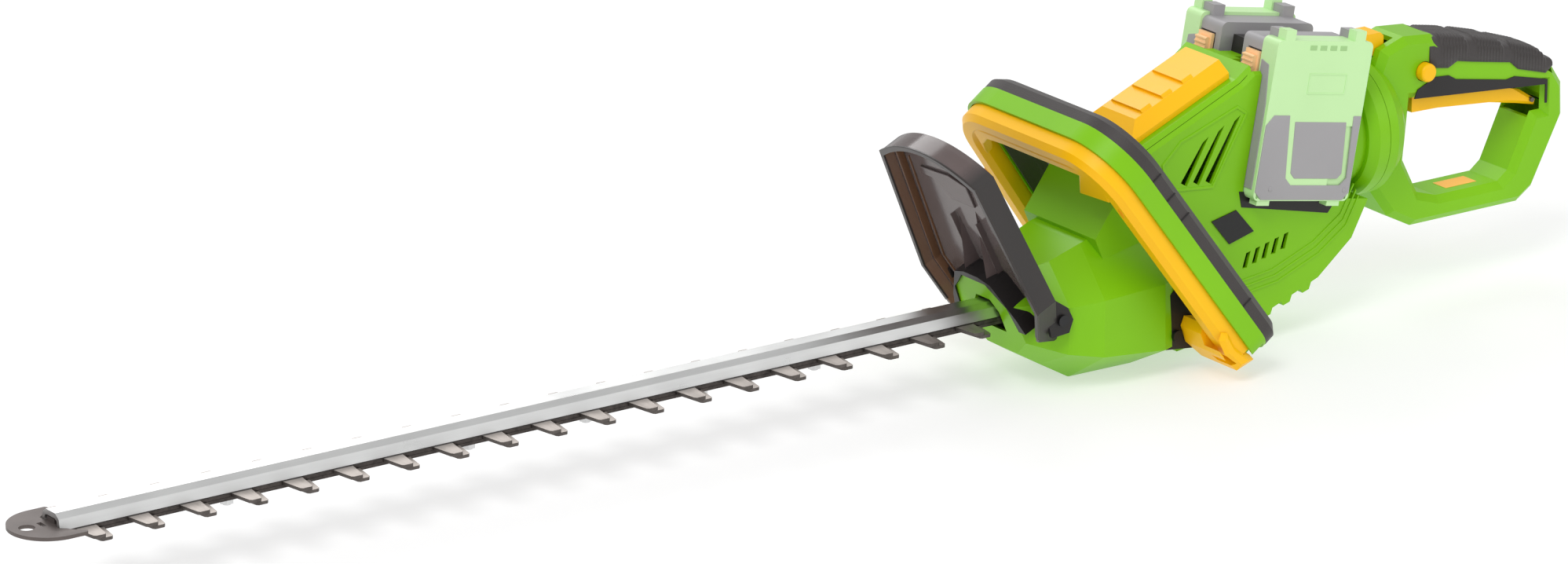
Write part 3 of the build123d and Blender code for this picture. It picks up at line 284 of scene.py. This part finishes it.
wears = {
    "lime": "left_shell right_shell bail_shell collar_ring handle_left_shell handle_right_shell",
    "yellow": "top_cover bail_lever bail_hooks trigger lock_off_button rotation_button",
    "grip": "bail_grip handle_grip",
    "black": "battery_dock guard_frame bail_mounts bail_switch gearcase_cover handle_trim "
    "trigger_switch motor_fan motor_end_cap",
    "label": "label_plates",
    "smoke": "hand_guard",
    "bar": "guide_bar",
    "blade": "upper_blade lower_blade",
    "dark": "trigger_pin tip_guard gearcase_plate gear_bearings drive_gear gear_shaft upper_conrod "
    "lower_conrod motor_shaft motor_rotor",
    "bolt": "blade_bolts blade_nuts bar_bolts motor_can trigger_spring bail_lever_springs",
    "screw": "shell_screws guard_screws bail_screws handle_screws",
    "brass": "dock_terminals",
    "board": "controller_board",
    "felt": "nose_wiper",
    "pack_grey": "left_battery_case right_battery_case",
    "pack_green": "left_battery_cover right_battery_cover",
    "pack_latch": "left_battery_latch right_battery_latch",
    "cell": "left_battery_cells right_battery_cells",
}
for look, names in wears.items():
    for name in names.split():
        slots = nodes[name].data.materials
        slots.clear()
        slots.append(looks[look])

# A small rounded edge on the moulded pieces, in millimetres.
rounds = {
    "left_shell": 1.1, "right_shell": 1.1, "bail_shell": 0.8, "collar_ring": 0.8,
    "handle_left_shell": 1.0, "handle_right_shell": 1.0, "top_cover": 1.0, "bail_lever": 1.0,
    "bail_hooks": 1.0, "trigger": 0.8, "lock_off_button": 0.8, "rotation_button": 0.8,
    "bail_grip": 1.0, "handle_grip": 1.0, "guard_frame": 0.5, "hand_guard": 0.6,
    "left_battery_case": 0.8, "right_battery_case": 0.8, "left_battery_cover": 0.9,
    "right_battery_cover": 0.9, "left_battery_latch": 0.6, "right_battery_latch": 0.6,
    "battery_dock": 0.5, "bail_mounts": 0.5, "handle_trim": 0.3, "label_plates": 0.2,
    "guide_bar": 0.25, "tip_guard": 0.25, "upper_blade": 0.2, "lower_blade": 0.2,
    "guard_screws": 0.2, "bail_screws": 0.2, "shell_screws": 0.2, "handle_screws": 0.2,
}
for name, radius in rounds.items():
    rounding = nodes[name].modifiers.new("rounded_edges", "BEVEL")
    rounding.width = radius * MM
    rounding.segments = 2
    rounding.limit_method = "ANGLE"
    rounding.angle_limit = math.radians(28)
    rounding.use_clamp_overlap = True
    rounding.harden_normals = False

# ---------------------------------------------------------------- pieces of detail
# Outlines are in millimetres on a plane: an origin, two directions along it and one out of it.


def plane_of(origin, along, up, out):
    return Vector(origin) * MM, Vector(along), Vector(up), Vector(out)


def at(plane, a, b, depth):
    origin, along, up, out = plane
    return origin + (along * a + up * b + out * depth) * MM


def finish_mesh(name, mesh_data, look, body, round_mm=0.0, smooth=False, segments=2):
    """Turn bmesh data into a piece that rides on a body and takes a finish."""
    bmesh.ops.recalc_face_normals(mesh_data, faces=mesh_data.faces)
    mesh = bpy.data.meshes.new(name)
    mesh_data.to_mesh(mesh)
    mesh_data.free()
    for face in mesh.polygons:
        face.use_smooth = smooth
    piece = bpy.data.objects.new(name, mesh)
    bpy.context.scene.collection.objects.link(piece)
    mesh.materials.append(looks[look])
    if round_mm > 0:
        rounding = piece.modifiers.new("rounded_edges", "BEVEL")
        rounding.width = round_mm * MM
        rounding.segments = segments
        rounding.limit_method = "ANGLE"
        rounding.angle_limit = math.radians(25)
    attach(piece, body)
    return piece


def prism(name, plane, points, near, far, look, body, round_mm=0.3):
    """A solid with a straight-sided outline, from near to far out of a plane."""
    data = bmesh.new()
    low = [data.verts.new(at(plane, a, b, near)) for a, b in points]
    high = [data.verts.new(at(plane, a, b, far)) for a, b in points]
    data.faces.new(low)
    data.faces.new(high)
    for number in range(len(points)):
        following = (number + 1) % len(points)
        data.faces.new((low[number], low[following], high[following], high[number]))
    return finish_mesh(name, data, look, body, round_mm)


def rim(name, plane, outer, inner, near, far, look, body, round_mm=0.3, closed=True):
    """A frame between two outlines of as many points, from near to far out of a plane."""
    data = bmesh.new()
    rings = [
        [data.verts.new(at(plane, a, b, depth)) for a, b in points]
        for points, depth in ((outer, near), (outer, far), (inner, far), (inner, near))
    ]
    count = len(outer)
    for first, second in zip(rings, rings[1:] + rings[:1]):
        for number in range(count if closed else count - 1):
            following = (number + 1) % count
            data.faces.new(
                (first[number], first[following], second[following], second[number])
            )
    if not closed:
        for number in (0, count - 1):
            data.faces.new([ring[number] for ring in rings])
    return finish_mesh(name, data, look, body, round_mm)


def dome(name, plane, centre, radii, height, look, body, turn=0.0):
    """A low oval dome on a plane."""
    data = bmesh.new()
    around = 28
    levels = 6
    rings = []
    for level in range(levels):
        tilt = math.pi / 2 * level / levels
        ring = []
        for number in range(around):
            angle = 2 * math.pi * number / around
            a = radii[0] * math.cos(tilt) * math.cos(angle)
            b = radii[1] * math.cos(tilt) * math.sin(angle)
            across = centre[0] + a * math.cos(turn) - b * math.sin(turn)
            upward = centre[1] + a * math.sin(turn) + b * math.cos(turn)
            ring.append(data.verts.new(at(plane, across, upward, height * math.sin(tilt))))
        rings.append(ring)
    for first, second in zip(rings, rings[1:]):
        for number in range(around):
            following = (number + 1) % around
            data.faces.new(
                (first[number], first[following], second[following], second[number])
            )
    data.faces.new(rings[0])
    data.faces.new(rings[-1])
    return finish_mesh(name, data, look, body, smooth=True)


SIDES = (("left", 1.0), ("right", -1.0))

# ---- battery packs: grey lower panels, a label without print, slots in painted shade and a faint frame
LEAN = math.radians(10.5)
pack_along = (math.cos(LEAN), 0.0, math.sin(LEAN))
pack_up = (-math.sin(LEAN), 0.0, math.cos(LEAN))
pack_middle = (-136.0, 0.0, 141.0)
lower_panel = [
    (37.4, -45), (37.4, -3), (32, 3.5), (19.5, 3.5), (15, -36), (10, -40.5), (-29.5, -40.5),
    (-34, -36), (-31.5, 3.5), (-37.6, 3.5), (-37.6, -45), (-33, -49.8), (32, -49.8),
]
label_panel = [(14.5, -0.5), (-26.5, -0.5), (-29.5, -33), (-26.5, -36.3), (8.0, -36.3), (11.5, -33)]
for side, sign in SIDES:
    flank = plane_of(pack_middle, pack_along, pack_up, (0.0, sign, 0.0))
    brow = plane_of(pack_middle, (0.0, sign, 0.0), pack_up, pack_along)
    body = f"{side}_pack"
    prism(f"{side}_pack_lower_panel", flank, lower_panel, 44.6, 46.0, "pack_grey", body)
    prism(f"{side}_pack_label", flank, label_panel, 44.6, 45.9, "pack_grey", body, 0.4)
    # Patches painted with shade where the slots are.
    for number, across in enumerate((9.5, 1.5, -6.5, -14.5)):
        front_end, back_end = across + 2.6, across - 2.6
        slot_outline = [(front_end, 47.6), (back_end, 47.6), (back_end, 44.6), (front_end, 44.6)]
        prism(
            f"{side}_pack_slot_shade_{number}", flank, slot_outline, 45.2, 45.75, "pack_slot_shade", body,
            0.15,
        )
    rim(
        f"{side}_pack_frame_line", flank,
        [(9, 30), (-21, 30), (-21, 17), (9, 17)],
        [(8.3, 29.3), (-20.3, 29.3), (-20.3, 17.7), (8.3, 17.7)],
        45.2, 45.85, "pack_green", body, 0.15,
    )
    prism(
        f"{side}_pack_brow_panel", brow, [(32.5, -44), (43, -44), (43, 10), (40, 34), (32.5, 36)],
        37.2, 38.5, "pack_grey", body,
    )
    for number, (across, upward) in enumerate(((26.0, -43.0), (-33.5, -43.5))):
        dome(
            f"{side}_pack_boss_{number}", (at(flank, 0, 0, 46.0), *flank[1:]), (across, upward),
            (1.6, 1.6), 0.5, "pack_grey", body,
        )
    for number in range(7):
        level = 17.5 + 3.0 * number
        prism(
            f"{side}_latch_rib_{number}", brow,
            [(18.2, level), (28.8, level), (28.8, level + 1.2), (18.2, level + 1.2)],
            41.6, 42.5, "pack_latch", f"{side}_latch", 0.25,
        )
    ledge = [(42.0, -47.0), (38.0, -57.0), (-32.0, -60.5), (-37.0, -52.0), (-37.0, -49.0)]
    prism(f"{side}_bay_ledge", flank, ledge, 35.0, 36.35, "black", "body")

# ---- front handle: yellow lip, dimples in painted shade, black liner and grip seams painted as groove shadow
BAIL = math.radians(36.0)
BAIL_FLARE = 16.0 / 231.0
bail_face = plane_of(
    (-79.0, 0.0, 20.0), (0.0, 1.0, 0.0), (math.sin(BAIL), 0.0, math.cos(BAIL)),
    (math.cos(BAIL), 0.0, -math.sin(BAIL)),
)
lip = [
    (-63, 148), (-57, 160), (-47, 168), (-30, 169.5), (46.5, 169.5), (31, 148), (63.5, 151),
    (65.5, 158), (60, 176), (-58, 176),
]
prism("bail_lip", bail_face, lip, 23.7, 30.6, "yellow", "bail_lever", 1.2)
front = (at(bail_face, 0, 0, 31.25), *bail_face[1:])


def bail_inside(inset):
    """The inner edge of the front handle's U, from one foot over the top to the other."""
    half, height, corner = 60.0 - inset, 172.0 - inset, 21.0 - inset
    near = []
    for number in range(9):
        angle = math.pi / 2 * number / 8
        near.append((
            half - corner + corner * math.cos(angle), height - corner + corner * math.sin(angle)
        ))
    near.insert(0, (half + BAIL_FLARE * (height - 34.0), 34.0))
    return near + [(-across, upward) for across, upward in reversed(near)]


rim("bail_liner", bail_face, bail_inside(-0.2), bail_inside(0.7), 6.5, 18.8, "grip", "body",
    0.2, closed=False)
# Orange domes painted as the shade inside the lever's two dimples.
for number, (across, upward, turn) in enumerate(((-76.5, 128.0, 0.1), (72.0, 146.0, -0.1))):
    dome(
        f"bail_dimple_painted_shade_{number}", front, (across, upward), (1.9, 4.2), 0.35, "painted_dimple_shade",
        "bail_lever", turn,
    )
# Near-black strips painted as the shadow inside the front grip's grooves.
for number, upward in enumerate((150.0, 133.0, 116.0, 40.0)):
    half = 79.0 + (191.0 - upward) * BAIL_FLARE
    for side, sign in SIDES:
        groove = [(sign * (half - 18.4), upward), (sign * (half + 0.15), upward + 1.5)]
        groove += [(sign * (half + 0.15), upward + 2.3), (sign * (half - 18.4), upward + 0.8)]
        if sign < 0:
            groove.reverse()
        prism(
            f"bail_grip_seam_{side}_{number}", bail_face, groove, -0.6, 6.5, "groove_shadow", "body",
            0.1,
        )

# ---- hand guard: bright rim, inner step and pointed fins
GUARD = math.radians(25.5)
guard_face = plane_of(
    (60.5, 0.0, 46.5), (0.0, 1.0, 0.0), (math.sin(GUARD), 0.0, math.cos(GUARD)),
    (math.cos(GUARD), 0.0, -math.sin(GUARD)),
)


def guard_line(inset):
    """The guard's outline from one lower corner over the top to the other."""
    low = [(47.0 - inset * 0.8, 1.0 + inset * 0.6), (59.0 - inset, 24.0 + inset * 0.2)]
    half = 48.5
    points = [(-across, height) for across, height in low]
    for number in range(21):
        across = -half + half * number / 10.0
        height = 116.0 + 14.0 * (1.0 - (across / half) ** 2)
        points.append((across * (half - inset * 0.95) / half, height - inset))
    return points + low[::-1]


rim("guard_rim", guard_face, guard_line(-0.5), guard_line(2.7), 14.0, 15.4, "guard_edge", "body",
    0.4, closed=False)
rim("guard_step", guard_face, guard_line(7.5), guard_line(9.5), 2.0, 3.6, "smoke", "body",
    0.4, closed=False)
rim("guard_far_step", guard_face, guard_line(2.0), guard_line(4.6), 2.0, 7.5, "smoke", "body",
    0.6, closed=False)
brow_step = [(-32, 96), (-20, 96), (-8, 84), (16, 84), (16, 100), (0, 104), (-30, 102)]
prism("guard_brow_step", guard_face, brow_step, 2.0, 3.8, "smoke", "body", 0.5)
for name, across, top, width in (("near", 12.0, 80.0, 3.0), ("far", -10.0, 70.0, 2.0)):
    data = bmesh.new()
    fin = [(across - width, 31, 2), (across + width, 31, 2), (across, 31, 14.5), (across, top, 2.1)]
    corners = [data.verts.new(at(guard_face, a, b, depth)) for a, b, depth in fin]
    for picks in ((0, 1, 2), (0, 1, 3), (0, 2, 3), (1, 2, 3)):
        data.faces.new([corners[pick] for pick in picks])
    finish_mesh(f"guard_fin_{name}", data, "smoke", "body")

# ---- casing: lines pressed along the lower back edge, a border round the long vents
for side, sign in SIDES:
    flank = plane_of((0.0, 0.0, 0.0), (1.0, 0.0, 0.0), (0.0, 0.0, 1.0), (0.0, sign, 0.0))
    for number in range(3):
        rise = 4.2 * number
        path = [(-92.0, 35.0), (-118.0, 38.0), (-150.0, 50.0), (-171.0, 64.0), (-181.0, 82.0)]
        outer = [(x + 0.5 * rise, z + rise) for x, z in path]
        inner = [(x + 0.5 * rise + 0.5, z + rise + 1.2) for x, z in path]
        rim(f"{side}_casing_line_{number}", flank, outer, inner, 35.0, 36.5, "lime", "body",
            0.25, closed=False)
    border_outer = [(-30, 112), (-66, 108), (-92, 152), (-84, 158), (-40, 143), (-26, 130)]
    border_inner = [
        (-32, 113.8), (-65, 110), (-89.6, 151.6), (-83.4, 156), (-41, 141.4), (-28.2, 129.6),
    ]
    rim(f"{side}_vent_border", flank, border_outer, border_inner, 35.0, 36.6, "lime", "body",
        0.4)

# ---- rear handle: ridged grip, blank sticker
grip_low = [
    (-243.0, 158.0), (-255.5, 147.7), (-265.0, 146.1), (-272.2, 149.4), (-285.0, 146.7),
    (-315.7, 141.0), (-322.3, 135.4), (-345.0, 129.0), (-350.5, 133.0),
]
grip_high = [
    (-243.0, 165.8), (-254.0, 169.3), (-261.0, 166.2), (-285.0, 161.4), (-308.0, 155.2),
    (-338.0, 145.2), (-350.5, 138.0),
]


def height_at(line, x):
    for (x0, z0), (x1, z1) in zip(line, line[1:]):
        if x1 <= x <= x0:
            return z0 + (z1 - z0) * (x - x0) / (x1 - x0)
    return line[-1][1]


# Stretches of the grip that carry ridges.
ridge_spans = ((-259.0, -282.0), (-288.0, -311.0), (-317.0, -346.0))


def ridge_mask(x):
    best = 0.0
    for front_end, back_end in ridge_spans:
        inside = min(front_end - x, x - back_end)
        best = max(best, min(1.0, max(0.0, inside / 2.0)))
    return best


GRIP_FRONT = -250.0
GRIP_BACK = -350.5
RIDGE_PITCH = 2.5

data = bmesh.new()
stations = 330
around = 30
rings = []
for station in range(stations + 1):
    x = GRIP_FRONT + (GRIP_BACK - GRIP_FRONT) * station / stations
    low = height_at(grip_low, x)
    high = height_at(grip_high, x)
    swell = ridge_mask(x)
    crown = 1.2 * swell
    ring = []
    for number in range(around + 1):
        angle = math.pi * number / around
        side = math.cos(angle)
        across = 18.9 * math.copysign(abs(side) ** 0.42, side)
        lift = abs(math.sin(angle)) ** 0.55
        z = low + (high + crown - low) * lift
        wave = math.sin(2 * math.pi * (x + 6.0 * (1.0 - abs(side))) / RIDGE_PITCH)
        shift = 0.45 * swell * wave + 0.5 * swell
        edge = min(1.0, 6.0 * min(number, around - number) / around)
        outward = Vector((0.0, side, abs(math.sin(angle)))).normalized() * shift * edge
        ring.append(data.verts.new(Vector((x, across, z)) * MM + outward * MM))
    rings.append(ring)
for first, second in zip(rings, rings[1:]):
    for number in range(around):
        data.faces.new((first[number], first[number + 1], second[number + 1], second[number]))
    data.faces.new((first[around], first[0], second[0], second[around]))
data.faces.new(rings[0])
data.faces.new(rings[-1])
grip = finish_mesh("ridged_grip", data, "grip", "handle", smooth=True)
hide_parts("handle_grip")

top_of_bar = plane_of((0.0, 0.0, 62.0), (1.0, 0.0, 0.0), (0.0, 1.0, 0.0), (0.0, 0.0, 1.0))
prism("blank_sticker", top_of_bar, [(-276, -6.5), (-276, 6.5), (-301, 6.5), (-301, -6.5)],
      -0.1, 0.25, "sticker", "handle", 0.1)

# ---------------------------------------------------------------- camera, light and floor

AZIMUTH = math.radians(35.06)
ELEVATION = math.radians(18.41)
DISTANCE = 4.655
target = Vector((0.2499, 0.030, 0.1067))
back = Vector(
    (
        math.sin(AZIMUTH) * math.cos(ELEVATION),
        math.cos(AZIMUTH) * math.cos(ELEVATION),
        math.sin(ELEVATION),
    )
)
camera_data = bpy.data.cameras.new("camera")
camera_data.sensor_width = 36.0
camera_data.lens = 181.24
camera_data.clip_end = 100.0
camera = bpy.data.objects.new("camera", camera_data)
camera.location = target + back * DISTANCE
camera.rotation_euler = back.to_track_quat("Z", "Y").to_euler()
bpy.context.scene.collection.objects.link(camera)
bpy.context.scene.camera = camera


def area_light(name, where, aim, size, power):
    data = bpy.data.lights.new(name, "AREA")
    data.shape = "DISK"
    data.size = size
    data.energy = power
    light = bpy.data.objects.new(name, data)
    light.location = where
    light.rotation_euler = (Vector(where) - Vector(aim)).to_track_quat("Z", "Y").to_euler()
    bpy.context.scene.collection.objects.link(light)


middle = (0.15, 0.0, 0.1)
area_light("key_light", (1.6, 1.2, 2.6), middle, 1.4, 40.0)
area_light("fill_light", (-1.6, 2.4, 1.6), middle, 2.2, 14.0)
area_light("rim_light", (-0.6, -2.2, 2.0), middle, 1.6, 20.0)

world = bpy.data.worlds.new("studio")
world.use_nodes = True
world.node_tree.nodes["Background"].inputs["Color"].default_value = (1.0, 1.0, 1.0, 1.0)
world.node_tree.nodes["Background"].inputs["Strength"].default_value = 0.62
bpy.context.scene.world = world
bpy.context.scene.view_settings.view_transform = "Standard"

floor_mesh = bpy.data.meshes.new("floor")
reach = 12.0
floor_mesh.from_pydata(
    [(-reach, -reach, 0), (reach, -reach, 0), (reach, reach, 0), (-reach, reach, 0)],
    [],
    [(0, 1, 2, 3)],
)
floor = bpy.data.objects.new("floor", floor_mesh)
bpy.context.scene.collection.objects.link(floor)
floor_look = moulded("floor_white", (0.52, 0.52, 0.52), 0.8, spread=0.005)
floor_shader = floor_look.node_tree.nodes["Principled BSDF"]
floor_shader.inputs["Emission Color"].default_value = (1.0, 1.0, 1.0, 1.0)
floor_shader.inputs["Emission Strength"].default_value = 0.50
floor_mesh.materials.append(floor_look)
